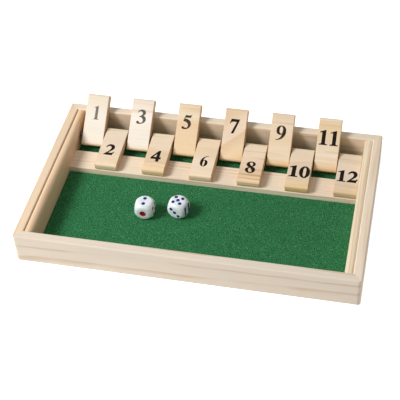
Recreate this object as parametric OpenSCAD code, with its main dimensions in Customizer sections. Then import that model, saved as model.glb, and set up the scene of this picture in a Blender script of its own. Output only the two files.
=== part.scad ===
// Twelve-number tile and dice game in an open wooden tray.
// X runs along the long side, +Y to the back wall that the tiles lean on, +Z up.
// The origin is on the underside, at the middle of the tray.

/* [Tray] */
// Outer depth of the tray, front to back
box_d = 174; // [150:1:210]
// Outer height of the four walls
box_h = 29; // [26:0.5:36]
// Thickness of the four walls
wall_t = 8; // [6:0.1:11]
// Rounding of the walls' top edges
edge_r = 1.2; // [0.3:0.1:1.8]
// Rounding of the walls' lower outer edges
foot_r = 0.6; // [0.3:0.1:1.5]
// Rounding of the tray's four upright corners
corner_r = 3.2; // [0.5:0.1:4]

/* [Floor] */
// Thickness of the plywood base panel
base_t = 4.5; // [3:0.1:6]
// Width of the rebate under each wall that takes the base panel
rebate_w = 4; // [2:0.1:5]
// Thickness of the felt
felt_t = 1.2; // [0.8:0.1:2]
// Gap between the felt's edges and the wood round it
felt_gap = 0.2; // [0.1:0.05:0.5]

/* [Side liners] */
// Thickness of the two strips that line the side walls and hold the rod
liner_t = 7; // [6.2:0.1:10]
// How far the liners stop below the top of the walls
liner_drop = 1; // [0.4:0.1:3]
// Rounding of each liner's upper edge towards the tiles
liner_r = 4; // [0.8:0.1:4.2]
// Rounding of each liner's upper edge towards the wall
liner_back_r = 1.8; // [0.3:0.1:2]

/* [Tile rail] */
// Thickness of the rail that the folded tiles lie on
rail_t = 5.2; // [3:0.1:7]
// Free floor between the rail and the sweep of the tiles' tails
well_gap = 5.9; // [2:0.1:9]
// Rounding of the rail's upper edges
rail_r = 0.5; // [0.2:0.1:1.5]

/* [Rod] */
// Diameter of the steel rod
rod_d = 3; // [2:0.1:3.6]
// Distance from the rod's axis to the inner face of the back wall
rod_to_back = 20.7; // [17:0.1:26]
// Free length between each end of the rod and the outer side wall
rod_end_gap = 0.3; // [0.1:0.1:2]
// Radial clearance of the rod in the liners
liner_fit = 0.03; // [0.02:0.01:0.08]
// Radial clearance of the rod in the tiles
tile_fit = 0.08; // [0.03:0.01:0.1]

/* [Tiles] */
// Number of tiles
tile_count = 12; // [9:1:12]
// Width of a tile, along the rod
tile_w = 20.3; // [16:0.1:24]
// Length of a tile
tile_l = 48; // [42:0.1:56]
// Thickness of a tile
tile_t = 7.3; // [6.2:0.1:9]
// Distance from the rod's axis to the tile's near end
tile_tail = 9.6; // [7.5:0.1:12]
// Rounding of the tile's two ends
tile_end_r = 2.4; // [1:0.1:2.9]
// Rounding of the tile's long edges
tile_edge_r = 0.5; // [0.2:0.1:1]
// Gap between neighbouring tiles of an even row
tile_gap = 1.2; // [1.1:0.1:4]
// Sideways play of an even row between the liners
row_play = 3.2; // [3.2:0.1:6]
// How far the row stands to the right of the tray's middle
row_shift = 1.3; // [0:0.1:1.3]
// Height of the tiles' tails above the felt as they swing past
tail_gap = 1.2; // [0.5:0.1:3]
// Least height of a level tile's underside above the rail
rail_gap = 0.5; // [0.3:0.1:2]
// Gap that is left where a leaning tile meets the back wall
lean_gap = 0.3; // [0.1:0.05:0.6]
// Gap that is left where a folded tile meets the rail
lie_gap = 0.15; // [0.05:0.05:0.6]

/* [Spacers] */
// Outer diameter of the washers between the tiles
washer_d = 6; // [5:0.1:7]
// Thickness of a washer
washer_t = 0.4; // [0.3:0.05:0.4]
// Radial clearance of the rod in the washers
washer_fit = 0.1; // [0.05:0.01:0.2]

/* [Dice] */
// Edge length of a die
die_s = 16; // [12:0.5:18]
// Radius of the ball that rounds the die's corners
die_ball_r = 10.1; // [9.5:0.1:10.9]
// Radius of a pip
pip_r = 1.6; // [1:0.1:1.8]
// Depth of a pip
pip_depth = 1; // [0.3:0.1:1.2]
// Radius of the large single pip
one_r = 2.9; // [1.8:0.1:3.2]
// Distance of the outer pips from the middle of a face, each way
pip_step = 3.2; // [2.8:0.1:3.8]
// Place of the left die to the right of the tray's middle
left_die_x = -48.1; // [-80:0.1:-40]
// Distance from the left die's middle to the rail's front
left_die_to_rail = 41.5; // [20:0.1:60]
// Turn of the left die
left_die_turn = 0.4; // [-45:0.1:45]
// Place of the right die to the right of the tray's middle
right_die_x = -19.5; // [-24:0.1:60]
// Distance from the right die's middle to the rail's front
right_die_to_rail = 35.9; // [20:0.1:60]
// Turn of the right die
right_die_turn = -12.7; // [-45:0.1:45]

/* [Hidden] */
$fn = 64;
TILE_NODES = [for (i = [1:tile_count]) str("tile_", i)];

// Cutters reach this far past the face that they open
over = 1;

// The tile row sets the tray's length
pitch = tile_w + tile_gap;
inner_l = tile_count * tile_w + (tile_count - 1) * tile_gap + row_play;
box_l = inner_l + 2 * (liner_t + wall_t);
inner_d = box_d - 2 * wall_t;

// Heights of the floor and of the pieces on it
felt_z = base_t + felt_t;
rail_z = felt_z + rail_t;
liner_z = box_h - liner_drop;

// The tile about its rod: the end that lifts, and the circle that the tail sweeps
tile_reach = tile_l - tile_tail;
tail_sweep = norm([tile_tail - tile_end_r, tile_t / 2 - tile_end_r]) + tile_end_r;

// The rod is high enough for the tail to clear the felt and a level tile to clear the rail
rod_y = box_d / 2 - wall_t - rod_to_back;
rod_z = max(felt_z + tail_sweep + tail_gap, rail_z + tile_t / 2 + rail_gap);

// The rail starts under the tips of the folded tiles
rail_y = rod_y - tile_reach;
rail_w = tile_reach - tail_sweep - well_gap;

// A leaning tile touches the rounded inner top edge of the back wall
lean_dy = rod_to_back + edge_r;
lean_dz = box_h - edge_r - rod_z;
lean_reach = tile_t / 2 + edge_r + lean_gap;
lean_angle = asin(lean_reach / norm([lean_dy, lean_dz])) + atan2(lean_dz, lean_dy);

// A folded tile touches the rail with the lower rounded corner of its free end
tip_u = tile_reach - tile_end_r;
tip_v = tile_t / 2 - tile_end_r;
tip_drop = rod_z - rail_z - tile_end_r - lie_gap;
fold_angle = 180 + asin(tip_drop / norm([tip_u, tip_v])) - atan2(tip_v, tip_u);

rod_r = rod_d / 2;

// How far each tile has slid to the right of its place in an even row
TILE_SLIDES = [0.4, 0.2, 0.5, 0.9, 1.2, 1, 1.5, 1.1, 1, 0.5, 0.4, 0];

// Each die's pips, in the order top, front, right, back, left, bottom
LEFT_DIE_FACES = [2, 1, 4, 6, 3, 5];
RIGHT_DIE_FACES = [5, 3, 6, 4, 1, 2];
FACE_TURNS = [[0, 0, 0], [90, 0, 0], [90, 0, 90], [90, 0, 180], [90, 0, -90], [180, 0, 0]];

// Wood as the photograph shows it: pale boards, two warmer tiles
pale_wood = "#ead9c6";
white_wood = "#f1e5d8";
warm_wood = "#e9c79c";
WARM_TILES = [5, 7];
WHITE_TILES = [1, 3];

echo(lean_angle = lean_angle, fold_angle = fold_angle, travel = fold_angle - lean_angle);
echo(box_l = box_l, rod_y = rod_y, rod_z = rod_z, rail_y = rail_y, rail_w = rail_w, rail_z = rail_z);

// What rounding takes off the corner at the origin of a shape in the first quadrant
module corner_waste(r) {
    difference() {
        translate([-over, -over]) square(r + over);
        translate([r, r]) circle(r);
    }
}

// A rectangle with its own radius at each corner: low left, low right, top right, top left
module rounded_rect(w, h, radii) {
    difference() {
        square([w, h]);
        if (radii[0] > 0) corner_waste(radii[0]);
        if (radii[1] > 0) translate([w, 0]) mirror([1, 0]) corner_waste(radii[1]);
        if (radii[2] > 0) translate([w, h]) rotate(180) corner_waste(radii[2]);
        if (radii[3] > 0) translate([0, h]) mirror([0, 1]) corner_waste(radii[3]);
    }
}

// A section drawn across and up, run along X or along Y, centred on the tray
module along_x(length) rotate([90, 0, 90]) linear_extrude(length, center = true) children();
module along_y(length) rotate([90, 0, 0]) linear_extrude(length, center = true) children();

// Section of a wall, from its outer face inwards, with the rebate for the base panel
module wall_section() {
    difference() {
        rounded_rect(wall_t, box_h, [foot_r, 0, edge_r, edge_r]);
        translate([wall_t - rebate_w, -over]) square([rebate_w + over, base_t + over]);
    }
}

// Plan of one wall along X or Y: the corners are mitred and rounded outside
module mitred_plan(length, depth) {
    intersection() {
        polygon([
            [-length / 2, -depth / 2],
            [length / 2, -depth / 2],
            [length / 2 - wall_t, wall_t - depth / 2],
            [wall_t - length / 2, wall_t - depth / 2]
        ]);
        translate([-length / 2, -depth / 2])
            rounded_rect(length, depth, [corner_r, corner_r, corner_r, corner_r]);
    }
}

module front_wall() {
    color(pale_wood) intersection() {
        translate([0, -box_d / 2, 0]) along_x(box_l) wall_section();
        linear_extrude(box_h) mitred_plan(box_l, box_d);
    }
}

module back_wall() mirror([0, 1, 0]) front_wall();

module left_wall() {
    color(pale_wood) intersection() {
        translate([-box_l / 2, 0, 0]) along_y(box_d) wall_section();
        linear_extrude(box_h) rotate(-90) mitred_plan(box_d, box_l);
    }
}

module right_wall() mirror([1, 0, 0]) left_wall();

module base_panel() {
    panel_l = box_l - 2 * (wall_t - rebate_w);
    panel_d = box_d - 2 * (wall_t - rebate_w);
    color("#dcc4a4") translate([-panel_l / 2, -panel_d / 2, 0]) cube([panel_l, panel_d, base_t]);
}

module felt_lining() {
    felt_l = inner_l - 2 * felt_gap;
    felt_d = inner_d - 2 * felt_gap;
    color("#2f7a4b") translate([-felt_l / 2, -felt_d / 2, base_t]) cube([felt_l, felt_d, felt_t]);
}

// The strip beside the left wall, bored right through for the rod
module left_liner() {
    color(pale_wood) difference() {
        translate([wall_t - box_l / 2, 0, base_t])
            along_y(inner_d) rounded_rect(liner_t, liner_z - base_t, [0, 0, liner_r, liner_back_r]);
        translate([wall_t - box_l / 2 - over, rod_y, rod_z])
            rotate([0, 90, 0]) cylinder(h = liner_t + 2 * over, r = rod_r + liner_fit);
    }
}

module right_liner() mirror([1, 0, 0]) left_liner();

module tile_rail() {
    color(pale_wood) translate([0, rail_y, felt_z])
        along_x(inner_l) rounded_rect(rail_w, rail_t, [0, 0, rail_r, rail_r]);
}

module pivot_rod() {
    rod_l = box_l - 2 * (wall_t + rod_end_gap);
    color("#b9bcc0") translate([0, rod_y, rod_z])
        rotate([0, 90, 0]) cylinder(h = rod_l, r = rod_r, center = true);
}

// Middle of a tile along the rod; the first tile is at the left
function tile_x(i) = row_shift + (i - (tile_count + 1) / 2) * pitch + TILE_SLIDES[i - 1];

module spacer_washers() {
    color("#b9bcc0") for (i = [1:tile_count - 1])
        translate([(tile_x(i) + tile_x(i + 1)) / 2, rod_y, rod_z]) rotate([0, 90, 0]) difference() {
            cylinder(h = washer_t, r = washer_d / 2, center = true);
            cylinder(h = washer_t + over, r = rod_r + washer_fit, center = true);
        }
}

// A tile lying along +Y with the rod's axis at the origin, all its edges rounded
module tile_blank() {
    ends = [tile_end_r, tile_end_r, tile_end_r, tile_end_r];
    edges = [tile_edge_r, tile_edge_r, tile_edge_r, tile_edge_r];
    difference() {
        intersection() {
            translate([0, -tile_tail, -tile_t / 2]) along_x(tile_w) rounded_rect(tile_l, tile_t, ends);
            translate([-tile_w / 2, tile_reach - tile_l / 2, -tile_t / 2])
                along_y(tile_l) rounded_rect(tile_w, tile_t, edges);
            translate([-tile_w / 2, -tile_tail, -tile_t / 2])
                linear_extrude(tile_t) rounded_rect(tile_w, tile_l, edges);
        }
        rotate([0, 90, 0]) cylinder(h = tile_w + 2 * over, r = rod_r + tile_fit, center = true);
    }
}

function tone(i) =
    len(search(i, WARM_TILES)) > 0 ? warm_wood : len(search(i, WHITE_TILES)) > 0 ? white_wood : pale_wood;

// As photographed, the odd tiles lean on the back wall and the even ones are folded
module tile(i) {
    angle = i % 2 == 1 ? lean_angle : fold_angle;
    color(tone(i)) translate([tile_x(i), rod_y, rod_z]) rotate([angle, 0, 0]) tile_blank();
}

// Places of the pips on a face, in steps from its middle
function pip_spots(value) =
    value == 1 ? [[0, 0]]
    : value == 2 ? [[0, -1], [0, 1]]
    : value == 3 ? [[-1, 1], [0, 0], [1, -1]]
    : value == 4 ? [for (u = [-1, 1], v = [-1, 1]) [u, v]]
    : value == 5 ? concat(pip_spots(1), pip_spots(4))
    : [for (u = [-1, 1], v = [-1:1]) [u, v]];

// The ball that presses one pip into the face at z = 0
module pip(radius) {
    ball_r = (pow(radius, 2) + pow(pip_depth, 2)) / (2 * pip_depth);
    translate([0, 0, ball_r - pip_depth]) sphere(ball_r);
}

module die(x, to_rail, turn, faces) {
    color("white") translate([x, rail_y - to_rail, felt_z + die_s / 2]) rotate(turn) difference() {
        intersection() {
            cube(die_s, center = true);
            sphere(die_ball_r);
        }
        for (side = [0:5], spot = pip_spots(faces[side]))
            rotate(FACE_TURNS[side]) translate([pip_step * spot[0], pip_step * spot[1], die_s / 2])
                pip(faces[side] == 1 ? one_r : pip_r);
    }
}

module left_die() die(left_die_x, left_die_to_rail, left_die_turn, LEFT_DIE_FACES);
module right_die() die(right_die_x, right_die_to_rail, right_die_turn, RIGHT_DIE_FACES);

base_panel();
felt_lining();
front_wall();
back_wall();
left_wall();
right_wall();
left_liner();
right_liner();
tile_rail();
pivot_rod();
spacer_washers();
for (i = [1:tile_count]) tile(i);
left_die();
right_die();
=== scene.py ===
"""Dresses a twelve-number tile and dice game: a raw pine tray, a felt floor, numbered tiles and two dice.

The wooden and steel pieces keep the frame's solids and get their finishes here. The felt and the dice are
built here in place of the frame's plain solids, and the printed numbers are added to both sides of each tile.
Fields named _mm are in millimetres, and so are the coordinates that the patterns are drawn on. Meshes, lights
and the camera are in metres.
"""

import logging
import math
from collections.abc import Sequence
from dataclasses import dataclass
from enum import Enum
from typing import Any

import bmesh
import bpy
from mathutils import Matrix, Vector, noise

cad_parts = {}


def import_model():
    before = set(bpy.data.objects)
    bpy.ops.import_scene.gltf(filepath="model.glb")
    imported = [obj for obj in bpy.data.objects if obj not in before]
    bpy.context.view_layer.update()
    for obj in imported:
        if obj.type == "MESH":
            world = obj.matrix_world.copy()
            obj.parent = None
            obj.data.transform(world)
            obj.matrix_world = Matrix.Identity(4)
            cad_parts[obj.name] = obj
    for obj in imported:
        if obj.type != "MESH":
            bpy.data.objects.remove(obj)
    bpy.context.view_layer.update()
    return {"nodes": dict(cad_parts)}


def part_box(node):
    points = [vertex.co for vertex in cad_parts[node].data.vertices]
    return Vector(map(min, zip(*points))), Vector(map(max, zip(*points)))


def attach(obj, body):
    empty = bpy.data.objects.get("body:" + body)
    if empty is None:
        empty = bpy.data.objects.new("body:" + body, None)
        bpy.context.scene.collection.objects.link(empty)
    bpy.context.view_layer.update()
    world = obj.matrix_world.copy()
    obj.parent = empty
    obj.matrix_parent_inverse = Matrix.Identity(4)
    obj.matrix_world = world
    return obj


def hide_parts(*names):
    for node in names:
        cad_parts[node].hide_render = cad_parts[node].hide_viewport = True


Material = bpy.types.Material
Socket = bpy.types.NodeSocket
Tree = bpy.types.NodeTree

LOG = logging.getLogger("tile_game")
MM = 0.001
TILE_COUNT = 12

# A wave texture's rings repeat every 2 pi / 20 units at scale 1
RING_SCALE = math.pi / 10

# Nearly all of a noise texture's values lie in this range
NOISE = {"From Min": 0.3, "From Max": 0.7}

# Wood, wool, plastic, enamel and ink all have about this index of refraction
IOR = 1.5


def linear(hex_colour: str) -> tuple[float, float, float, float]:
    """Turns an sRGB hex colour into the linear colour that Blender's sockets take.

    Args:
        hex_colour: the colour, such as "#ead9c6".

    Returns:
        Red, green, blue and an alpha of 1.
    """
    parts = [int(hex_colour[i : i + 2], 16) / 255 for i in (1, 3, 5)]
    red, green, blue = (v / 12.92 if v <= 0.04045 else ((v + 0.055) / 1.055) ** 2.4 for v in parts)
    return red, green, blue, 1.0


def add_node(
    tree: Tree, kind: str, inputs: dict[int | str, Any] | None = None, **settings: Any
) -> bpy.types.Node:
    """Adds one shader node with its settings and links.

    Args:
        tree: the node tree that gets the node.
        kind: the node's type without "ShaderNode", such as "Mapping".
        inputs: each input's name or number, with its value or with the output that feeds it.
        **settings: the node's own properties.

    Returns:
        The new node.
    """
    made = tree.nodes.new(f"ShaderNode{kind}")
    for name, value in settings.items():
        setattr(made, name, value)
    for key, value in (inputs or {}).items():
        if isinstance(value, Socket):
            tree.links.new(value, made.inputs[key])
        else:
            made.inputs[key].default_value = value
    return made


def empty_material(name: str) -> tuple[Material, Tree]:
    """Makes a material whose node tree is still empty.

    Args:
        name: the material's name.

    Returns:
        The material and its node tree.
    """
    material = bpy.data.materials.new(name)
    material.use_nodes = True
    material.node_tree.nodes.clear()
    return material, material.node_tree


def own_coords(
    tree: Tree,
    stretch: float = 1.0,
    turn: Sequence[float] = (0.0, 0.0, 0.0),
    centre: Sequence[float] = (0.0, 0.0, 0.0),
) -> Socket:
    """Reads a piece's own coordinates in millimetres, which its pattern is drawn on.

    Args:
        tree: the material's node tree.
        stretch: how many times longer the pattern gets along its X.
        turn: the pattern's turn, in radians.
        centre: the pattern's origin on the piece, in metres.

    Returns:
        The coordinates.
    """
    place = {
        "Vector": add_node(tree, "TexCoord").outputs["Object"],
        "Location": centre,
        "Rotation": turn,
        "Scale": (stretch * MM, MM, MM),
    }
    return add_node(tree, "Mapping", place, vector_type="TEXTURE").outputs["Vector"]


def seen_rays(tree: Tree) -> Socket:
    """Tells the rays that reach the picture from those that light the object.

    Args:
        tree: the node tree of the table or of the world.

    Returns:
        1 for a ray from the camera, off a glossy surface or through a clear one, and otherwise 0.
    """
    rays = add_node(tree, "LightPath").outputs
    seen = rays["Is Camera Ray"]
    for kind in ("Is Glossy Ray", "Is Transmission Ray"):
        seen = add_node(tree, "Math", {0: seen, 1: rays[kind]}, operation="MAXIMUM").outputs[0]
    return seen


def dress(piece: bpy.types.Object, *materials: Material) -> None:
    """Gives a piece its materials, one for each of its slots.

    Args:
        piece: the piece, a node of the frame or a new one.
        *materials: the materials, the last of which fills any slots that are left.
    """
    while len(piece.material_slots) < len(materials):
        piece.data.materials.append(None)
    for index, slot in enumerate(piece.material_slots):
        slot.material = materials[min(index, len(materials) - 1)]


def add_piece(name: str, data: bpy.types.ID) -> bpy.types.Object:
    """Puts a mesh, curve, light or camera into the scene as an object at the origin.

    Args:
        name: the object's name.
        data: what it shows. A mesh is already in place.

    Returns:
        The new object.
    """
    piece = bpy.data.objects.new(name, data)
    bpy.context.scene.collection.objects.link(piece)
    return piece


def mesh_from(name: str, shape: bmesh.types.BMesh) -> bpy.types.Mesh:
    """Turns a finished bmesh into a mesh and frees it.

    Args:
        name: the mesh's name.
        shape: the bmesh.

    Returns:
        The mesh, with its faces pointing outwards.
    """
    bmesh.ops.recalc_face_normals(shape, faces=shape.faces)
    mesh = bpy.data.meshes.new(name)
    shape.to_mesh(mesh)
    shape.free()
    return mesh


def node_centre(name: str) -> Vector:
    """Middle of a frame node's box, in metres."""
    low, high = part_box(name)
    return (Vector(low) + Vector(high)) / 2


class Grain(Enum):
    """The way that a board's fibres run in the tray, as the turn of its pattern."""

    ALONG_X = 0.0
    ALONG_Y = math.pi / 2


@dataclass(frozen=True)
class Wood:
    """Planed and sanded pine, left raw.

    It is pale and matt, with thin tan late-wood lines, short fibres along the board and a slow drift of tone.
    The early wood has one tone, or several across the grain, each with its place in millimetres; on the back
    wall a warmer tone on its inner face is painted warm bounce light. Where the patches' noise is below bare,
    only a faint share of the rings shows. They return within fade above that.
    """

    early: str = "#ecdac3"
    late: str = "#cfae85"
    end_grain: str = "#dfb78b"
    ring_mm: float = 3.4
    heart_mm: tuple[float, float] = (12.0, -46.0)
    ring_show: float = 0.55
    line_from: float = 0.35
    wander: float = 6.0
    stretch: float = 8.0
    slant_deg: float = 0.0
    patch_mm: float = 16.0
    patch_stretch: float = 4.0
    bare: float = 0.47
    fade: float = 0.16
    faint: float = 0.08
    fibre_mm: float = 0.45
    fibre_stretch: float = 30.0
    drift: float = 0.03
    drift_mm: float = 28.0
    relief_mm: float = 0.05
    ring_relief: float = 0.5
    sawn_mm: tuple[float, float] = (0.3, 0.1)
    seed: float = 0.0
    tones: tuple[tuple[float, str], ...] = ()
    tone_slant_deg: float = 0.0
    tone_waver_mm: float = 8.0

    def material(
        self,
        name: str,
        centre: Vector,
        grain: Grain = Grain.ALONG_X,
        tilt: float = 0.0,
        half_length_mm: float = 1000.0,
    ) -> Material:
        """Builds the wood round a heart line that runs along the board.

        Args:
            name: the material's name.
            centre: a point on the board's own axis, in metres.
            grain: the way that the fibres run.
            tilt: turn of the board about its own length, in radians.
            half_length_mm: distance from the centre to each sawn end, where the end grain shows.

        Returns:
            The material.
        """
        material, tree = empty_material(name)
        board = own_coords(tree, turn=(tilt, 0.0, grain.value), centre=centre)
        squeeze = (1 / self.patch_stretch, 1.0, 1.0)
        patches = add_node(tree, "VectorMath", {0: board, 1: squeeze}, operation="MULTIPLY").outputs[0]
        fading = add_node(
            tree,
            "TexNoise",
            {"Vector": patches, "W": self.seed, "Scale": 1 / self.patch_mm, "Detail": 1.0},
            noise_dimensions="4D",
        ).outputs["Fac"]
        lines = self.late_lines(tree, board)

        # Some stretches of the board show their rings and others hardly do
        shown = add_node(
            tree,
            "MapRange",
            {
                "Value": fading,
                "From Min": self.bare,
                "From Max": self.bare + self.fade,
                "To Min": self.faint * self.ring_show,
                "To Max": self.ring_show,
            },
        )
        ring_mask = add_node(tree, "Math", {0: lines, 1: shown.outputs[0]}, operation="MULTIPLY")
        early = self.early_wood(tree, board, fading)
        ringed = add_node(
            tree, "Mix", {0: ring_mask.outputs[0], 6: early, 7: linear(self.late)}, data_type="RGBA"
        )
        fibres = self.fibres(tree, board)
        tone = self.tone(tree, patches, fibres)
        toned = add_node(tree, "VectorMath", {0: ringed.outputs[2], "Scale": tone}, operation="SCALE")

        # Sawn ends soak up more light than planed faces, so they are darker and warmer
        along = add_node(tree, "SeparateXYZ", {0: board})
        off_middle = add_node(tree, "Math", {0: along.outputs["X"]}, operation="ABSOLUTE")
        deep, shallow = self.sawn_mm
        ends = {"From Min": half_length_mm - deep, "From Max": half_length_mm - shallow}
        sawn = add_node(tree, "MapRange", {"Value": off_middle.outputs[0], **ends})
        end_tone = add_node(
            tree, "VectorMath", {0: linear(self.end_grain)[:3], "Scale": tone}, operation="SCALE"
        )
        colour = add_node(
            tree, "Mix", {0: sawn.outputs[0], 6: toned.outputs[0], 7: end_tone.outputs[0]}, data_type="RGBA"
        )

        relief = add_node(tree, "Math", {0: lines, 1: self.ring_relief, 2: fibres}, operation="MULTIPLY_ADD")
        bump = add_node(
            tree, "Bump", {"Height": relief.outputs[0], "Distance": self.relief_mm * MM, "Strength": 0.6}
        )
        span = {"To Min": 0.52, "To Max": 0.66}
        matt = add_node(tree, "MapRange", {"Value": fibres, **NOISE, **span})
        shader = add_node(
            tree,
            "BsdfPrincipled",
            {
                "Base Color": colour.outputs[2],
                "Roughness": matt.outputs[0],
                "IOR": IOR,
                "Normal": bump.outputs[0],
            },
        )
        add_node(tree, "OutputMaterial", {"Surface": shader.outputs[0]})
        return material

    def late_lines(self, tree: Tree, board: Socket) -> Socket:
        """Draws each year's ring as a line that darkens slowly and ends sharply.

        Args:
            tree: the material's node tree.
            board: the board's own coordinates.

        Returns:
            1 in the darkest late wood, and 0 in early wood.
        """
        # The rings change slowly along the board, so its length is squeezed before they are drawn
        from_heart = add_node(
            tree,
            "Mapping",
            {
                "Vector": board,
                "Location": (self.seed, -self.heart_mm[0], -self.heart_mm[1]),
                "Rotation": (0.0, 0.0, math.radians(self.slant_deg)),
                "Scale": (1 / self.stretch, 1.0, 1.0),
            },
        )
        rings = add_node(
            tree,
            "TexWave",
            {
                "Vector": from_heart.outputs[0],
                "Scale": RING_SCALE / self.ring_mm,
                "Distortion": self.wander,
                "Detail": 2.0,
                "Detail Scale": 0.9,
                "Detail Roughness": 0.5,
            },
            wave_type="RINGS",
            rings_direction="X",
            wave_profile="SAW",
        ).outputs["Fac"]
        darkening = add_node(
            tree,
            "MapRange",
            {"Value": rings, "From Min": self.line_from, "From Max": 0.92},
            interpolation_type="SMOOTHSTEP",
        ).outputs[0]
        ring_end = add_node(
            tree,
            "MapRange",
            {"Value": rings, "From Min": 0.93, "From Max": 1.0, "To Min": 1.0, "To Max": 0.0},
        ).outputs[0]
        return add_node(tree, "Math", {0: darkening, 1: ring_end}, operation="MULTIPLY").outputs[0]

    def early_wood(self, tree: Tree, board: Socket, waver: Socket) -> Socket | tuple[float, ...]:
        """Colours the early wood, through its tones across the grain where it has more than one.

        Args:
            tree: the material's node tree.
            board: the board's own coordinates.
            waver: slow noise that bends the tones' borders.

        Returns:
            The colour's output, or the colour itself where the early wood has one tone all over.
        """
        if not self.tones:
            return linear(self.early)
        slant = (0.0, 0.0, -math.radians(self.tone_slant_deg))
        turned = add_node(tree, "Mapping", {"Vector": board, "Rotation": slant})
        across = add_node(tree, "SeparateXYZ", {0: turned.outputs[0]})
        bent = add_node(
            tree, "Math", {0: waver, 1: self.tone_waver_mm, 2: across.outputs["Y"]}, operation="MULTIPLY_ADD"
        )
        low, high = self.tones[0][0], self.tones[-1][0]
        middle = self.tone_waver_mm / 2
        place = add_node(
            tree, "MapRange", {"Value": bent.outputs[0], "From Min": low + middle, "From Max": high + middle}
        )
        ramp = add_node(tree, "ValToRGB", {"Fac": place.outputs[0]})
        stops = ramp.color_ramp.elements
        while len(stops) < len(self.tones):
            stops.new(0.5)
        for stop, (position, colour) in zip(stops, self.tones):
            stop.position = (position - low) / (high - low)
            stop.color = linear(colour)
        return ramp.outputs["Color"]

    def fibres(self, tree: Tree, board: Socket) -> Socket:
        """Draws the fibres as fine streaks along the board.

        Args:
            tree: the material's node tree.
            board: the board's own coordinates.

        Returns:
            The streaks, as noise.
        """
        squeeze = (1 / self.fibre_stretch, 1.0, 1.0)
        streaks = add_node(tree, "VectorMath", {0: board, 1: squeeze}, operation="MULTIPLY")
        return add_node(
            tree,
            "TexNoise",
            {
                "Vector": streaks.outputs[0],
                "W": self.seed + 3.0,
                "Scale": 0.5 / self.fibre_mm,
                "Detail": 3.0,
                "Roughness": 0.6,
            },
            noise_dimensions="4D",
        ).outputs["Fac"]

    def tone(self, tree: Tree, patches: Socket, fibres: Socket) -> Socket:
        """Works out how light the wood is, from its fibres and from a slow drift along the board.

        Args:
            tree: the material's node tree.
            patches: the board's coordinates, squeezed along its length.
            fibres: the fibres' streaks.

        Returns:
            A factor for the colour, about 1.
        """
        fibre_tone = add_node(
            tree, "MapRange", {"Value": fibres, **NOISE, "To Min": 0.95, "To Max": 1.03}
        ).outputs[0]
        slow = add_node(
            tree,
            "TexNoise",
            {"Vector": patches, "W": self.seed + 7.0, "Scale": 1 / self.drift_mm, "Detail": 2.0},
            noise_dimensions="4D",
        ).outputs["Fac"]
        span = {"To Min": 1.0 - self.drift, "To Max": 1.0 + self.drift}
        drift_tone = add_node(tree, "MapRange", {"Value": slow, **NOISE, **span}).outputs[0]
        return add_node(tree, "Math", {0: fibre_tone, 1: drift_tone}, operation="MULTIPLY").outputs[0]


@dataclass(frozen=True)
class Felt:
    """Pressed wool and viscose felt, dyed green.

    It has no weave: a dull dark ground with paler tangled fibres, some nearly white-green, and soft clouds.
    """

    ground: str = "#094a23"
    fibre: str = "#358553"
    fleck: str = "#8cc29a"
    sheen: str = "#8fc79b"
    fibre_mm: float = 0.62
    cloud_mm: float = 11.0
    nap_mm: float = 0.25
    nap_turn: float = -0.3
    nap_stretch: float = 1.3

    def material(self, name: str) -> Material:
        """Builds the felt's colour, nap and sheen.

        Args:
            name: the material's name.

        Returns:
            The material.
        """
        material, tree = empty_material(name)
        place = own_coords(tree, self.nap_stretch, turn=(0.0, 0.0, self.nap_turn))

        # Real fibres are 0.02 mm thick: these tufts of them are drawn as wide as the camera can see
        tufts = add_node(
            tree,
            "TexNoise",
            {"Vector": place, "Scale": 1 / self.fibre_mm, "Detail": 1.0, "Roughness": 0.5, "Distortion": 0.8},
        ).outputs["Fac"]
        clouds = add_node(
            tree, "TexNoise", {"Vector": place, "Scale": 1 / self.cloud_mm, "Detail": 2.0}
        ).outputs["Fac"]
        strands = add_node(
            tree,
            "TexNoise",
            {
                "Vector": place,
                "W": 4.0,
                "Scale": 0.8 / self.fibre_mm,
                "Detail": 2.0,
                "Roughness": 0.6,
                "Distortion": 1.5,
            },
            noise_dimensions="4D",
        ).outputs["Fac"]
        tuft_mask = add_node(
            tree,
            "MapRange",
            {"Value": tufts, "From Min": 0.4, "From Max": 0.6},
            interpolation_type="SMOOTHSTEP",
        )
        dyed = add_node(
            tree,
            "Mix",
            {0: tuft_mask.outputs[0], 6: linear(self.ground), 7: linear(self.fibre)},
            data_type="RGBA",
        )
        strand_mask = add_node(
            tree, "MapRange", {"Value": strands, "From Min": 0.59, "From Max": 0.68, "To Max": 0.6}
        )
        flecked = add_node(
            tree,
            "Mix",
            {0: strand_mask.outputs[0], 6: dyed.outputs[2], 7: linear(self.fleck)},
            data_type="RGBA",
        )
        cloud_tone = add_node(tree, "MapRange", {"Value": clouds, **NOISE, "To Min": 0.95, "To Max": 1.05})
        colour = add_node(
            tree, "VectorMath", {0: flecked.outputs[2], "Scale": cloud_tone.outputs[0]}, operation="SCALE"
        )
        nap = add_node(tree, "Math", {0: tufts, 1: strands}, operation="ADD")
        bump = add_node(
            tree, "Bump", {"Height": nap.outputs[0], "Distance": self.nap_mm * MM, "Strength": 0.7}
        )
        shader = add_node(
            tree,
            "BsdfPrincipled",
            {
                "Base Color": colour.outputs[0],
                "Roughness": 0.95,
                "IOR": IOR,
                "Specular IOR Level": 0.2,
                "Sheen Weight": 0.15,
                "Sheen Roughness": 0.5,
                "Sheen Tint": linear(self.sheen),
                "Normal": bump.outputs[0],
            },
        )
        add_node(tree, "OutputMaterial", {"Surface": shader.outputs[0]})
        return material


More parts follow.
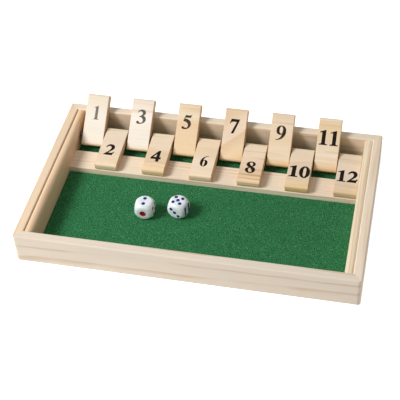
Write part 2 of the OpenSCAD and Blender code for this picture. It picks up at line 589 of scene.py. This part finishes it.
@dataclass(frozen=True)
class Coat:
    """A smooth finish such as moulded plastic, enamel or printing ink.

    Its colour clouds a little, and fine marks from handling make the gloss uneven. Light spreads inside it
    where it glows.
    """

    colour: str
    shade: str
    roughness: float
    cloud_mm: float
    gloss: float
    mark_mm: float = 0.5
    mark_depth_mm: float = 0.01
    wear: tuple[float, float] = (0.8, 1.3)
    glow_mm: float = 0.0

    def material(self, name: str) -> Material:
        """Builds the finish.

        Args:
            name: the material's name.

        Returns:
            The material.
        """
        material, tree = empty_material(name)
        place = own_coords(tree)
        clouds = add_node(tree, "TexNoise", {"Vector": place, "Scale": 1 / self.cloud_mm, "Detail": 2.0})
        marks = add_node(
            tree, "TexNoise", {"Vector": place, "Scale": 1 / self.mark_mm, "Detail": 4.0, "Roughness": 0.65}
        ).outputs["Fac"]
        tint = add_node(tree, "MapRange", {"Value": clouds.outputs["Fac"], **NOISE})
        colour = add_node(
            tree, "Mix", {0: tint.outputs[0], 6: linear(self.colour), 7: linear(self.shade)}, data_type="RGBA"
        )
        span = {"To Min": self.roughness * self.wear[0], "To Max": self.roughness * self.wear[1]}
        worn = add_node(tree, "MapRange", {"Value": marks, **NOISE, **span})
        bump = add_node(tree, "Bump", {"Height": marks, "Distance": self.mark_depth_mm * MM, "Strength": 0.5})
        shader = add_node(
            tree,
            "BsdfPrincipled",
            {
                "Base Color": colour.outputs[2],
                "Roughness": worn.outputs[0],
                "IOR": IOR,
                "Specular IOR Level": self.gloss,
                "Subsurface Weight": 1.0 if self.glow_mm else 0.0,
                "Subsurface Radius": (1.0, 1.0, 1.0),
                "Subsurface Scale": self.glow_mm * MM,
                "Normal": bump.outputs[0],
            },
        )
        add_node(tree, "OutputMaterial", {"Surface": shader.outputs[0]})
        return material


@dataclass(frozen=True)
class DrawnSteel:
    """Drawn steel, as in a plain rod: grey metal with fine drawing lines along its length."""

    colour: str
    dull: str
    roughness: float
    line_mm: float = 0.12
    line_stretch: float = 40.0
    line_depth_mm: float = 0.01
    wear: tuple[float, float] = (0.8, 1.25)

    def material(self, name: str) -> Material:
        """Builds the metal.

        Args:
            name: the material's name.

        Returns:
            The material.
        """
        material, tree = empty_material(name)
        place = own_coords(tree, self.line_stretch)
        lines = add_node(
            tree, "TexNoise", {"Vector": place, "Scale": 0.5 / self.line_mm, "Detail": 3.0}
        ).outputs["Fac"]
        drawn = add_node(tree, "MapRange", {"Value": lines, **NOISE}).outputs[0]
        colour = add_node(
            tree, "Mix", {0: drawn, 6: linear(self.colour), 7: linear(self.dull)}, data_type="RGBA"
        )
        span = {"To Min": self.roughness * self.wear[0], "To Max": self.roughness * self.wear[1]}
        gloss = add_node(tree, "MapRange", {"Value": drawn, **span})
        bump = add_node(tree, "Bump", {"Height": lines, "Distance": self.line_depth_mm * MM, "Strength": 0.5})
        shader = add_node(
            tree,
            "BsdfPrincipled",
            {
                "Base Color": colour.outputs[2],
                "Metallic": 1.0,
                "Roughness": gloss.outputs[0],
                "Normal": bump.outputs[0],
            },
        )
        add_node(tree, "OutputMaterial", {"Surface": shader.outputs[0]})
        return material


@dataclass
class Tray:
    """The wooden tray: four mitred walls, two liners, the rail and the base panel, with the steel rod."""

    front: Wood = Wood(
        early="#e7d9c8",
        late="#c6aa8a",
        ring_mm=8.0,
        line_from=0.6,
        stretch=6.0,
        slant_deg=9.0,
        seed=8.0,
        bare=0.38,
    )
    back: Wood = Wood(
        late="#cfb28e",
        ring_mm=6.0,
        stretch=12.0,
        seed=11.0,
        # The warmer tone below -3.9 mm across the board colours the inner face: painted warm bounce light in
        # the wall's shade
        tones=((-4.0, "#f3dcc0"), (-3.9, "#ecdec9"), (4.0, "#ecdec9")),
        tone_waver_mm=0.0,
    )
    left: Wood = Wood(early="#eed5b7", late="#cba884", ring_mm=3.6, stretch=14.0, seed=17.0)
    right: Wood = Wood(early="#f8e8d3", late="#e6caa8", ring_mm=5.5, stretch=12.0, seed=23.0)
    left_liner: Wood = Wood(early="#f2d3b0", late="#c79c74", ring_mm=2.2, stretch=16.0, seed=31.0, bare=0.36)
    right_liner: Wood = Wood(early="#f1e1c5", late="#d8b288", ring_mm=2.6, stretch=16.0, seed=37.0, bare=0.36)
    rail: Wood = Wood(early="#f1e1ca", late="#d9b294", ring_mm=1.9, stretch=16.0, seed=41.0, bare=0.38)
    base: Wood = Wood(early="#dcc4a0", late="#b8936a", ring_mm=9.0, heart_mm=(30.0, -90.0), wander=9.0)
    rod: DrawnSteel = DrawnSteel(colour="#75767a", dull="#4f4f51", roughness=0.38)
    # The washers' near-black colour is painted shade, so that they read as the shadowed gaps beside the tiles
    washers: DrawnSteel = DrawnSteel(colour="#3b3835", dull="#272523", roughness=0.5)

    def build(self, nodes: dict[str, bpy.types.Object]) -> None:
        """Dresses the tray's own solids.

        Args:
            nodes: the frame's solids by name.
        """
        boards = (
            ("front_wall", self.front, Grain.ALONG_X, 0.7),
            ("back_wall", self.back, Grain.ALONG_X, 0.0),
            ("left_wall", self.left, Grain.ALONG_Y, 2.3),
            ("right_wall", self.right, Grain.ALONG_Y, -0.7),
            ("left_liner", self.left_liner, Grain.ALONG_Y, 0.2),
            ("right_liner", self.right_liner, Grain.ALONG_Y, 1.9),
            ("tile_rail", self.rail, Grain.ALONG_X, 0.4),
            ("base_panel", self.base, Grain.ALONG_X, 0.0),
        )
        for name, wood, grain, tilt in boards:
            kind = "birch_plywood" if name == "base_panel" else "sanded_pine"
            dress(nodes[name], wood.material(f"{kind}_{name}", node_centre(name), grain, tilt))
            LOG.info("%s: %s", name, kind)
        dress(nodes["pivot_rod"], self.rod.material("drawn_steel"))
        # The washers' near-black steel is painted shade
        dress(nodes["spacer_washers"], self.washers.material("painted_shade_steel"))
        LOG.info("pivot_rod and spacer_washers: steel")


@dataclass
class FeltFloor:
    """The felt sheet on the tray's floor, slightly uneven as it lies."""

    finish: Felt = Felt()
    step_mm: float = 2.2
    unevenness_mm: float = 0.12
    tuft_mm: float = 3.0

    def build(self) -> bpy.types.Object:
        """Returns:
            The felt.
        """
        low, high = (Vector(corner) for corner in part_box("felt_lining"))
        size = high - low
        middle = (low + high) / 2
        shape = bmesh.new()
        bmesh.ops.create_grid(
            shape,
            x_segments=round(size.x / (self.step_mm * MM)),
            y_segments=round(size.y / (self.step_mm * MM)),
            size=0.5,
        )
        bmesh.ops.scale(shape, vec=(size.x, size.y, 1.0), verts=shape.verts)
        bmesh.ops.translate(shape, vec=(middle.x, middle.y, high.z), verts=shape.verts)
        top = shape.verts[:]
        underside = bmesh.ops.extrude_face_region(shape, geom=shape.faces[:], use_keep_orig=True)
        for part in underside["geom"]:
            if isinstance(part, bmesh.types.BMVert):
                part.co.z = low.z
        for vert in top:
            # Noise runs from -1 to 1, and a dip from 0 to 1
            dip = 0.5 + 0.5 * noise.noise(vert.co / (self.tuft_mm * MM))
            vert.co.z -= self.unevenness_mm * MM * dip
        piece = add_piece("felt_sheet", mesh_from("felt_sheet", shape))
        piece.data.shade_smooth()
        dress(piece, self.finish.material("pressed_felt"))
        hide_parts("felt_lining")
        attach(piece, "tray")
        LOG.info("felt_sheet: %.1f x %.1f mm", size.x / MM, size.y / MM)
        return piece


class TileFace(Enum):
    """The side of a tile that carries its number."""

    UPRIGHT = "shows while the tile leans back"
    FOLDED = "shows while the tile lies forward"


# The digits of a bold book face, in thousandths of the type size. Each loop lists its anchors as x and y,
# with CORNER where the outline turns sharply. The later loops of a digit are its counters.
CORNER = True
TYPE_SIZE = 1000
DIGIT_HEIGHT = 676
DIGITS: dict[str, tuple[tuple[tuple[int, ...], ...], ...]] = {
    "0": (
        ((250, 688), (428, 560), (476, 337), (428, 115), (250, -13), (72, 115), (24, 337), (72, 560)),
        ((250, 655), (176, 565), (160, 337), (176, 110), (250, 20), (324, 110), (340, 337), (324, 565)),
    ),
    "1": (
        (
            (70, 0, CORNER), (430, 0, CORNER), (430, 20, CORNER), (350, 36), (325, 90, CORNER),
            (325, 688, CORNER), (302, 688, CORNER), (70, 594, CORNER), (70, 572, CORNER), (150, 588),
            (180, 545, CORNER), (180, 90, CORNER), (155, 36), (70, 20, CORNER),
        ),
    ),
    "2": (
        (
            (17, 0, CORNER), (412, 0, CORNER), (476, 208, CORNER), (454, 208, CORNER), (425, 152),
            (365, 130, CORNER), (160, 130, CORNER), (335, 288), (420, 395), (440, 500), (385, 635),
            (245, 688), (110, 640), (32, 490, CORNER), (56, 482, CORNER), (115, 560), (200, 590), (275, 550),
            (305, 455), (270, 330), (180, 205), (17, 20, CORNER),
        ),
    ),
    "3": (
        (
            (22, 60), (60, 0), (170, -14), (340, 35), (440, 120), (466, 225), (430, 330), (330, 398, CORNER),
            (400, 460), (430, 550), (380, 650), (250, 688), (130, 655), (40, 545, CORNER), (62, 530, CORNER),
            (120, 585), (190, 602), (265, 570), (290, 500), (240, 410), (130, 352, CORNER),
            (130, 330, CORNER), (250, 300), (330, 185), (300, 75), (230, 40), (165, 62), (100, 120),
            (45, 115),
        ),
    ),
    "4": (
        (
            (19, 160, CORNER), (278, 160, CORNER), (278, 0, CORNER), (400, 0, CORNER), (400, 160, CORNER),
            (475, 160, CORNER), (475, 262, CORNER), (400, 262, CORNER), (400, 688, CORNER),
            (325, 688, CORNER), (19, 245, CORNER),
        ),
        ((278, 262, CORNER), (278, 535, CORNER), (90, 262, CORNER)),
    ),
    "5": (
        (
            (165, 676, CORNER), (405, 676), (445, 700, CORNER), (462, 700, CORNER), (408, 555, CORNER),
            (165, 555, CORNER), (142, 500, CORNER), (300, 470), (420, 375), (455, 250), (400, 90), (270, 5),
            (130, -10), (40, 15), (22, 65), (60, 118), (130, 95), (190, 62), (270, 75), (320, 165),
            (300, 260), (210, 335), (68, 372, CORNER),
        ),
    ),
    "6": (
        (
            (430, 688, CORNER), (290, 655), (170, 560), (94, 415), (72, 265), (110, 75), (252, -13),
            (390, 70), (430, 215), (394, 365), (298, 425), (210, 395, CORNER), (246, 520), (322, 620),
            (432, 668, CORNER),
        ),
        ((254, 372), (222, 352, CORNER), (212, 220), (222, 75), (252, 20), (280, 80), (290, 200), (280, 320)),
    ),
    "7": (
        (
            (85, 676, CORNER), (478, 676, CORNER), (478, 655, CORNER), (240, -13, CORNER),
            (130, -13, CORNER), (350, 552, CORNER), (180, 552), (95, 530), (40, 455, CORNER),
            (17, 462, CORNER),
        ),
    ),
    "8": (
        (
            (250, 688), (395, 645), (445, 535), (410, 450), (330, 388), (430, 305), (472, 190), (415, 55),
            (250, -13), (85, 45), (28, 160), (60, 260), (160, 335), (75, 430), (48, 520), (105, 640),
        ),
        ((252, 658), (180, 620), (170, 560), (205, 485), (300, 410), (335, 470), (345, 545), (320, 630)),
        ((195, 315), (150, 235), (145, 160), (180, 55), (255, 18), (330, 50), (350, 115), (315, 200)),
    ),
    "9": (
        (
            (25, -13, CORNER), (200, 20), (350, 115), (445, 260), (472, 410), (425, 600), (248, 688),
            (75, 605), (25, 460), (70, 310), (190, 250), (300, 280, CORNER), (255, 155), (160, 55),
            (23, 7, CORNER),
        ),
        (
            (240, 303), (308, 320, CORNER), (328, 455), (305, 600), (242, 655), (180, 595), (162, 475),
            (180, 355),
        ),
    ),
}


@dataclass
class TileRow:
    """The twelve tiles on the rod, each with its number printed on both faces."""

    thickness_mm: float = 7.3
    width_mm: float = 20.3
    reach_mm: float = 38.4
    type_mm: float = 19.0
    advance: int = 500
    upright_drop_mm: float = 17.6
    folded_drop_mm: float = 19.1
    ink_proud_mm: float = 0.05
    weld_mm: float = 0.002

    def build(self, nodes: dict[str, bpy.types.Object]) -> None:
        """Dresses the tiles and prints their numbers.

        Args:
            nodes: the frame's solids by name.
        """
        inks: dict[str, Material] = {}
        rod = node_centre("pivot_rod")
        for number in range(1, TILE_COUNT + 1):
            name = f"tile_{number}"
            middle = node_centre(name)
            lean = math.atan2(middle.z - rod.z, middle.y - rod.y)
            hub = Vector((middle.x, rod.y, rod.z))
            wood = TILE_WOODS[number]
            dress(
                nodes[name],
                wood.material(f"sanded_pine_{name}", hub, tilt=lean, half_length_mm=self.width_mm / 2),
            )
            place = Matrix.Translation(hub) @ Matrix.Rotation(lean, 4, "X")
            piece = add_piece(f"{name}_numbers", self.print_number(number, place))
            shade = PRINTS[number].ink
            if shade not in inks:
                streak = PRINTS[number].streak
                ink = Coat(colour=shade, shade=streak, roughness=0.7, cloud_mm=2.0, gloss=0.12)
                inks[shade] = ink.material(f"printed_ink_{shade[1:]}")
            dress(piece, inks[shade])
            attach(piece, name)
            LOG.info("%s: resting at %.1f degrees, numbered on both faces", name, math.degrees(lean))

    def print_number(self, number: int, place: Matrix) -> bpy.types.Mesh:
        """Prints a number on both faces of a tile, as ink that stands a little proud of the wood.

        Args:
            number: the tile's number.
            place: the tile's own frame, with +Y from the rod to the free end and +Z to the upright face.

        Returns:
            The mesh of both numbers, in place.
        """
        flat = self.number_outline(str(number), PRINTS[number].spread_mm)
        right, up = PRINTS[number].slip_mm
        slip = Matrix.Translation((right * MM, up * MM, 0.0))
        shape = bmesh.new()
        for face in TileFace:
            shape.from_mesh(flat)
            fresh = shape.verts[-len(flat.vertices) :]
            bmesh.ops.transform(shape, matrix=place @ self.face_frame(face) @ slip, verts=fresh)
        bmesh.ops.remove_doubles(shape, verts=shape.verts, dist=self.weld_mm * MM)
        bpy.data.meshes.remove(flat)
        return mesh_from(f"tile_{number}_numbers", shape)

    def face_frame(self, face: TileFace) -> Matrix:
        """The place of a number's middle on one face of a tile, in the tile's own frame.

        Args:
            face: the face.

        Returns:
            The place, with +X to the number's right, +Y to its top and +Z out of the wood.
        """
        if face is TileFace.UPRIGHT:
            along = self.reach_mm - self.upright_drop_mm
            return Matrix.Translation((0.0, along * MM, self.thickness_mm / 2 * MM))
        along = self.reach_mm - self.folded_drop_mm
        middle = Matrix.Translation((0.0, along * MM, -self.thickness_mm / 2 * MM))
        return middle @ Matrix.Rotation(math.pi, 4, "X")

    def number_outline(self, text: str, spread_mm: float) -> bpy.types.Mesh:
        """Fills a number's outlines, as a thin plate centred on the origin.

        Args:
            text: the number's digits.
            spread_mm: how far the ink has spread past the type.

        Returns:
            The plate, in metres.
        """
        unit = self.type_mm * MM / TYPE_SIZE
        curve = bpy.data.curves.new("number_outline", "CURVE")
        curve.dimensions = "2D"
        curve.fill_mode = "BOTH"
        curve.resolution_u = 6
        curve.extrude = self.ink_proud_mm * MM
        curve.offset = spread_mm * MM
        for place, digit in enumerate(text):
            left = (place - len(text) / 2) * self.advance
            for order, loop in enumerate(DIGITS[digit]):
                # The ink spreads outwards only where a counter runs the other way round than its digit
                turns = sum(a[0] * b[1] - b[0] * a[1] for a, b in zip(loop, loop[1:] + loop[:1]))
                loop = loop if (turns > 0) == (order == 0) else loop[::-1]
                spline = curve.splines.new("BEZIER")
                spline.bezier_points.add(len(loop) - 1)
                spline.use_cyclic_u = True
                for point, (across, up, *corner) in zip(spline.bezier_points, loop):
                    point.co = ((left + across) * unit, (up - DIGIT_HEIGHT / 2) * unit, 0.0)
                    handle = "VECTOR" if corner else "AUTO"
                    point.handle_left_type = handle
                    point.handle_right_type = handle
        outline = add_piece("number_outline", curve)
        view = bpy.context.evaluated_depsgraph_get()
        flat = bpy.data.meshes.new_from_object(outline.evaluated_get(view))
        bpy.data.objects.remove(outline)
        bpy.data.curves.remove(curve)
        return flat


@dataclass(frozen=True)
class Print:
    """How one number came out: its ink, that ink's spread past the type, and its slip right and up."""

    spread_mm: float
    slip_mm: tuple[float, float]
    # Where this colour is greyer than the dark ink, it holds painted highlight
    ink: str = "#120b07"
    streak: str = "#1f150e"


# Each number was printed by itself, none quite in the middle. The greyer inks of the upright tiles 1, 3, 5
# and 9 are painted highlight, where the light falls on their ink.
PRINTS: dict[int, Print] = {
    1: Print(-0.1, (0.2, 0.1), ink="#6f6a63", streak="#89837b"),
    2: Print(0.22, (-0.6, 0.45), ink="#1c1009", streak="#2c1d12"),
    3: Print(0.06, (0.0, 0.75), ink="#55504a", streak="#6b655e"),
    4: Print(0.3, (-0.6, -1.05)),
    5: Print(0.02, (-1.1, 0.35), ink="#382e24", streak="#51463a"),
    6: Print(-0.05, (0.2, -0.6), ink="#1c1009", streak="#2c1d12"),
    7: Print(0.12, (-0.6, 1.2), ink="#1c1009", streak="#2c1d12"),
    8: Print(0.28, (-0.6, -1.65)),
    9: Print(0.1, (-0.35, -0.4), ink="#2a2018", streak="#3a2f25"),
    10: Print(0.42, (0.05, -0.3)),
    11: Print(0.28, (0.15, -0.4)),
    12: Print(0.28, (-0.35, 0.35)),
}

# Each tile was cut from its own length of pine, so each has its tones from the rod's end to the free end.
# On tiles 2 and 6 the lighter, warmer stop at the free end is partly the pine's tone and partly painted warm
# light on the rounded end.
TILE_WOODS: dict[int, Wood] = {
    1: Wood(late="#d9c4a6", ring_mm=3.0, ring_show=0.3, seed=5.0, tones=(
        (-9.0, "#efe0c4"), (-6.0, "#f0e6d6"), (8.0, "#f3ebde"), (20.0, "#eee4d6"), (38.0, "#e9d8c0"))),
    2: Wood(late="#cbab80", ring_mm=2.2, ring_show=0.45, line_from=0.5, seed=10.0, bare=0.42, tones=(
        (-9.0, "#eddfc8"), (8.0, "#efdbc3"), (17.0, "#f0dec5"), (24.0, "#eed9bc"), (38.0, "#f3dcbc"))),
    3: Wood(late="#d0b694", ring_mm=3.2, ring_show=0.4, line_from=0.6, seed=19.0, tones=(
        (-9.0, "#ecdcbc"), (-5.0, "#f1e8da"), (12.0, "#f5ebdd"), (21.0, "#faf2e7"), (38.0, "#e9d8c5"))),
    4: Wood(late="#cda878", ring_mm=2.4, ring_show=0.5, line_from=0.5, seed=20.0, bare=0.42, tones=(
        (-9.0, "#f0dec4"), (8.0, "#f4ddc3"), (18.0, "#efd9b6"), (25.0, "#e8ccab"), (33.0, "#f6dcb8"),
        (38.0, "#f5d3a4"))),
    5: Wood(late="#d0a26b", ring_mm=4.2, ring_show=0.35, seed=25.0, tones=(
        (-9.0, "#ecd2a8"), (6.0, "#efd3ac"), (20.0, "#eed0aa"), (27.0, "#f0ddc0"), (38.0, "#e7d0b0"))),
    6: Wood(late="#d6b990", ring_mm=3.6, ring_show=0.2, seed=30.0, tones=(
        (-9.0, "#f6e2c5"), (8.0, "#f6dcbc"), (17.0, "#f8e4ca"), (30.0, "#f5e4cb"), (38.0, "#fae0bf"))),
    7: Wood(
        late="#c99a67", ring_mm=5.0, ring_show=0.3, seed=36.0, slant_deg=-62.0, stretch=2.0, bare=0.4,
        tone_slant_deg=40.0, tone_waver_mm=7.0,
        tones=(
            (-14.0, "#ecc998"), (-2.0, "#f4d8b2"), (4.0, "#edcfaa"), (8.0, "#e7c6a1"), (10.0, "#f2dac0"),
            (17.0, "#f1d9bf"), (24.0, "#e8ccaa"), (36.0, "#e2c49f"))),
    8: Wood(late="#bf9263", ring_mm=2.1, ring_show=0.7, line_from=0.55, seed=40.0, bare=0.44, tones=(
        (-9.0, "#f3e2c8"), (4.0, "#f7e2c6"), (15.0, "#f3dabe"), (22.0, "#edd2b3"), (28.0, "#e8cbaa"),
        (38.0, "#f8d7ad"))),
    9: Wood(late="#c69f6e", ring_mm=3.4, ring_show=0.4, line_from=0.7, seed=45.0, tones=(
        (-9.0, "#e8c592"), (-5.0, "#efdab9"), (2.0, "#f4dfc3"), (13.0, "#eed4b2"), (24.0, "#f1dabe"),
        (38.0, "#ebd4b8"))),
    10: Wood(late="#cfb186", ring_mm=3.6, ring_show=0.3, seed=50.0, tones=(
        (-9.0, "#f1dfc6"), (10.0, "#f3ddc1"), (20.0, "#e8d4bb"), (28.0, "#ecd4b5"), (33.0, "#f3d8b0"),
        (38.0, "#efca94"))),
    11: Wood(late="#c79f70", ring_mm=1.9, ring_show=0.25, line_from=0.5, seed=55.0, bare=0.44, tones=(
        (-9.0, "#e6bf90"), (-5.0, "#edd2ae"), (4.0, "#f8e6cb"), (10.0, "#f1ddc1"), (16.0, "#ebd1b2"),
        (27.0, "#efd5ac"), (33.0, "#eccfa4"), (37.0, "#f3e0c6"))),
    12: Wood(late="#c9a67c", ring_mm=2.6, ring_show=0.45, line_from=0.5, seed=60.0, bare=0.42, tones=(
        (-9.0, "#ecd9c0"), (8.0, "#f1ddc5"), (18.0, "#e6d5c0"), (25.0, "#e4d1bb"), (33.0, "#e9d1b2"),
        (38.0, "#e2c59e"))),
}


class DieSide(Enum):
    """The way that each side of a die faces before the die is turned, as the turn from its top."""

    TOP = (0.0, 0.0)
    FRONT = (90.0, 0.0)
    RIGHT = (90.0, 90.0)
    BACK = (90.0, 180.0)
    LEFT = (90.0, -90.0)
    BOTTOM = (180.0, 0.0)

    def turn(self) -> Matrix:
        """The turn that brings the top to this side."""
        lean, spin = (math.radians(angle) for angle in self.value)
        return Matrix.Rotation(spin, 4, "Z") @ Matrix.Rotation(lean, 4, "X")


# Places of the pips on a side, in steps to the right and up from its middle
PIPS: dict[int, tuple[tuple[int, int], ...]] = {
    1: ((0, 0),),
    2: ((0, -1), (0, 1)),
    3: ((-1, 1), (0, 0), (1, -1)),
    4: ((-1, -1), (-1, 1), (1, -1), (1, 1)),
    5: ((0, 0), (-1, -1), (-1, 1), (1, -1), (1, 1)),
    6: ((-1, -1), (-1, 0), (-1, 1), (1, -1), (1, 0), (1, 1)),
}
RED_PIPS = (1, 4)


@dataclass
class Die:
    """A moulded die with soft corners and hollow painted pips."""

    name: str
    sides: tuple[int, int, int, int, int, int]
    turn_deg: float
    size_mm: float = 16.0
    ball_mm: float = 10.1
    softness_mm: float = 0.9
    step_mm: float = 3.2
    pip_mm: float = 1.6
    one_mm: float = 2.9
    depth_mm: float = 1.0
    cuts: int = 27
    weld_mm: float = 0.005

    def build(self, finishes: list[Material]) -> bpy.types.Object:
        """Moulds the die where the frame's plain die is.

        Args:
            finishes: the plastic, the blue paint and the red paint.

        Returns:
            The die.
        """
        body = add_piece(f"{self.name}_cube", self.soft_cube())
        hollows = add_piece(f"{self.name}_hollows", self.pip_balls())
        dress(body, *finishes)
        dress(hollows, *finishes)
        cut = body.modifiers.new("pips", "BOOLEAN")
        cut.operation = "DIFFERENCE"
        cut.solver = "EXACT"
        cut.object = hollows
        view = bpy.context.evaluated_depsgraph_get()
        cut_mesh = bpy.data.meshes.new_from_object(body.evaluated_get(view))
        for used in (body, hollows):
            bpy.data.objects.remove(used)

        shape = bmesh.new()
        shape.from_mesh(cut_mesh)
        bmesh.ops.remove_doubles(shape, verts=shape.verts, dist=self.weld_mm * MM)
        turn = Matrix.Rotation(math.radians(self.turn_deg), 4, "Z")
        place = Matrix.Translation(node_centre(self.name)) @ turn
        bmesh.ops.transform(shape, matrix=place, verts=shape.verts)
        for edge in shape.edges:
            rims = {face.material_index for face in edge.link_faces}
            edge.smooth = len(rims) == 1
        piece = add_piece(f"{self.name}_moulded", mesh_from(f"{self.name}_moulded", shape))
        for face in piece.data.polygons:
            face.use_smooth = True
        dress(piece, *finishes)
        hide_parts(self.name)
        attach(piece, self.name)
        LOG.info("%s_moulded: %d faces", self.name, len(piece.data.polygons))
        return piece

    def soft_cube(self) -> bpy.types.Mesh:
        """Moulds a cube whose corners follow a ball, with a soft rim where the two meet."""
        shape = bmesh.new()
        bmesh.ops.create_cube(shape, size=self.size_mm * MM)
        bmesh.ops.subdivide_edges(shape, edges=shape.edges, cuts=self.cuts, use_grid_fill=True)
        ball = self.ball_mm * MM
        softness = self.softness_mm * MM
        for vert in shape.verts:
            # A smooth minimum of the cube's own reach and the ball's
            reach = vert.co.length
            blend = max(softness - abs(reach - ball), 0.0) / softness
            vert.co *= (min(reach, ball) - blend * blend * softness / 4) / reach
        return mesh_from(f"{self.name}_cube", shape)

    def pip_balls(self) -> bpy.types.Mesh:
        """Makes the balls that press the pips into the six sides, each with its paint."""
        shape = bmesh.new()
        for side, value in zip(DieSide, self.sides):
            radius = self.one_mm if value == 1 else self.pip_mm
            ball = (radius**2 + self.depth_mm**2) / (2 * self.depth_mm)
            height = self.size_mm / 2 + ball - self.depth_mm
            for right, up in PIPS[value]:
                middle = Vector((right * self.step_mm, up * self.step_mm, height)) * MM
                made = bmesh.ops.create_icosphere(
                    shape, subdivisions=4, radius=ball * MM, matrix=side.turn() @ Matrix.Translation(middle)
                )
                for face in {face for vert in made["verts"] for face in vert.link_faces}:
                    face.material_index = 2 if value in RED_PIPS else 1
        return mesh_from(f"{self.name}_hollows", shape)


@dataclass
class DicePair:
    """The two dice on the felt."""

    plastic: Coat = Coat(
        colour="#ebf2fc", shade="#e6eef9", roughness=0.25, cloud_mm=6.0, mark_mm=0.4, gloss=0.35, glow_mm=4.0
    )
    blue: Coat = Coat(colour="#161d8c", shade="#121770", roughness=0.4, cloud_mm=1.0, mark_mm=0.3, gloss=0.25)
    red: Coat = Coat(colour="#b3131b", shade="#961117", roughness=0.4, cloud_mm=1.5, mark_mm=0.3, gloss=0.25)

    def build(self) -> None:
        """Moulds both dice."""
        finishes = [
            self.plastic.material("moulded_white_plastic"),
            self.blue.material("blue_enamel"),
            self.red.material("red_enamel"),
        ]
        Die("left_die", sides=(2, 1, 4, 6, 3, 5), turn_deg=0.4).build(finishes)
        Die("right_die", sides=(5, 3, 6, 4, 1, 2), turn_deg=-12.7).build(finishes)


@dataclass
class Studio:
    """White table, one softbox from the front left, an even room and the photograph's camera."""

    table_reach: float = 4.0
    table_drop_mm: float = 0.3
    key_from: tuple[float, float, float] = (-0.62, -0.34, 0.70)
    key_distance: float = 1.45
    key_width: float = 0.5
    key_watts: float = 17.8
    room_strength: float = 0.33
    camera_at: tuple[float, float, float] = (0.16388, -0.63789, 0.67002)
    look: tuple[float, float, float] = (-0.18, 0.68285, -0.70804)
    right: tuple[float, float, float] = (0.9767, 0.20959, -0.04617)
    focal_px: float = 1068.7
    image_px: float = 400.0

    def build(self) -> None:
        """Makes the table, the light, the room and the camera."""
        self.add_table()
        self.add_key_light()
        self.add_room()
        self.add_camera()

    def add_table(self) -> None:
        """Lays a pale table top that the camera sees as white, apart from the object's shadow."""
        material, tree = empty_material("white_table")
        seen = seen_rays(tree)
        paint = add_node(tree, "BsdfDiffuse", {"Color": linear("#f2f2f2")})
        glow = add_node(tree, "Emission", {"Color": linear("#ffffff"), "Strength": 0.8})
        both = add_node(tree, "AddShader", {0: paint.outputs[0], 1: glow.outputs[0]})
        mix = add_node(tree, "MixShader", {0: seen, 1: paint.outputs[0], 2: both.outputs[0]})
        add_node(tree, "OutputMaterial", {"Surface": mix.outputs[0]})
        shape = bmesh.new()
        bmesh.ops.create_grid(shape, x_segments=1, y_segments=1, size=self.table_reach)
        bmesh.ops.translate(shape, vec=(0.0, 0.0, -self.table_drop_mm * MM), verts=shape.verts)
        floor = add_piece("white_table", mesh_from("white_table", shape))
        dress(floor, material)

    def add_key_light(self) -> None:
        """Hangs a square softbox that faces the middle of the tray."""
        lamp = bpy.data.lights.new("key_light", "AREA")
        lamp.size = self.key_width
        lamp.energy = self.key_watts
        light = add_piece("key_light", lamp)
        away = Vector(self.key_from).normalized()
        light.location = away * self.key_distance
        light.rotation_mode = "QUATERNION"
        light.rotation_quaternion = away.to_track_quat("Z", "Y")

    def add_room(self) -> None:
        """Gives the room a low even light, and a white backdrop to the camera and to reflections."""
        world = bpy.data.worlds.new("studio")
        world.use_nodes = True
        tree = world.node_tree
        tree.nodes.clear()
        even = {"Color": linear("#fffaf2"), "Strength": self.room_strength}
        room = add_node(tree, "Background", even)
        backdrop = add_node(tree, "Background", {"Color": linear("#ffffff"), "Strength": 1.0})
        shaders = {1: room.outputs[0], 2: backdrop.outputs[0]}
        mix = add_node(tree, "MixShader", {0: seen_rays(tree), **shaders})
        add_node(tree, "OutputWorld", {"Surface": mix.outputs[0]})
        bpy.context.scene.world = world

    def add_camera(self) -> None:
        """Places the camera where the photograph was taken from."""
        ahead = Vector(self.look).normalized()
        right = Vector(self.right).normalized()
        up = right.cross(ahead)
        turn = Matrix((right, up, -ahead)).transposed()
        data = bpy.data.cameras.new("camera")
        data.sensor_width = 36.0
        data.lens = data.sensor_width * self.focal_px / self.image_px
        data.clip_start = 0.01
        data.clip_end = 20.0
        camera = add_piece("camera", data)
        camera.matrix_world = Matrix.Translation(self.camera_at) @ turn.to_4x4()
        bpy.context.scene.camera = camera
        bpy.context.scene.view_settings.view_transform = "Standard"


def main() -> None:
    """Builds and dresses every piece."""
    logging.basicConfig(level=logging.INFO, format="%(name)s: %(message)s")
    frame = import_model()
    nodes = frame["nodes"]
    Tray().build(nodes)
    FeltFloor().build()
    TileRow().build(nodes)
    DicePair().build()
    Studio().build()
    bpy.context.view_layer.update()


if __name__ == "__main__":
    main()
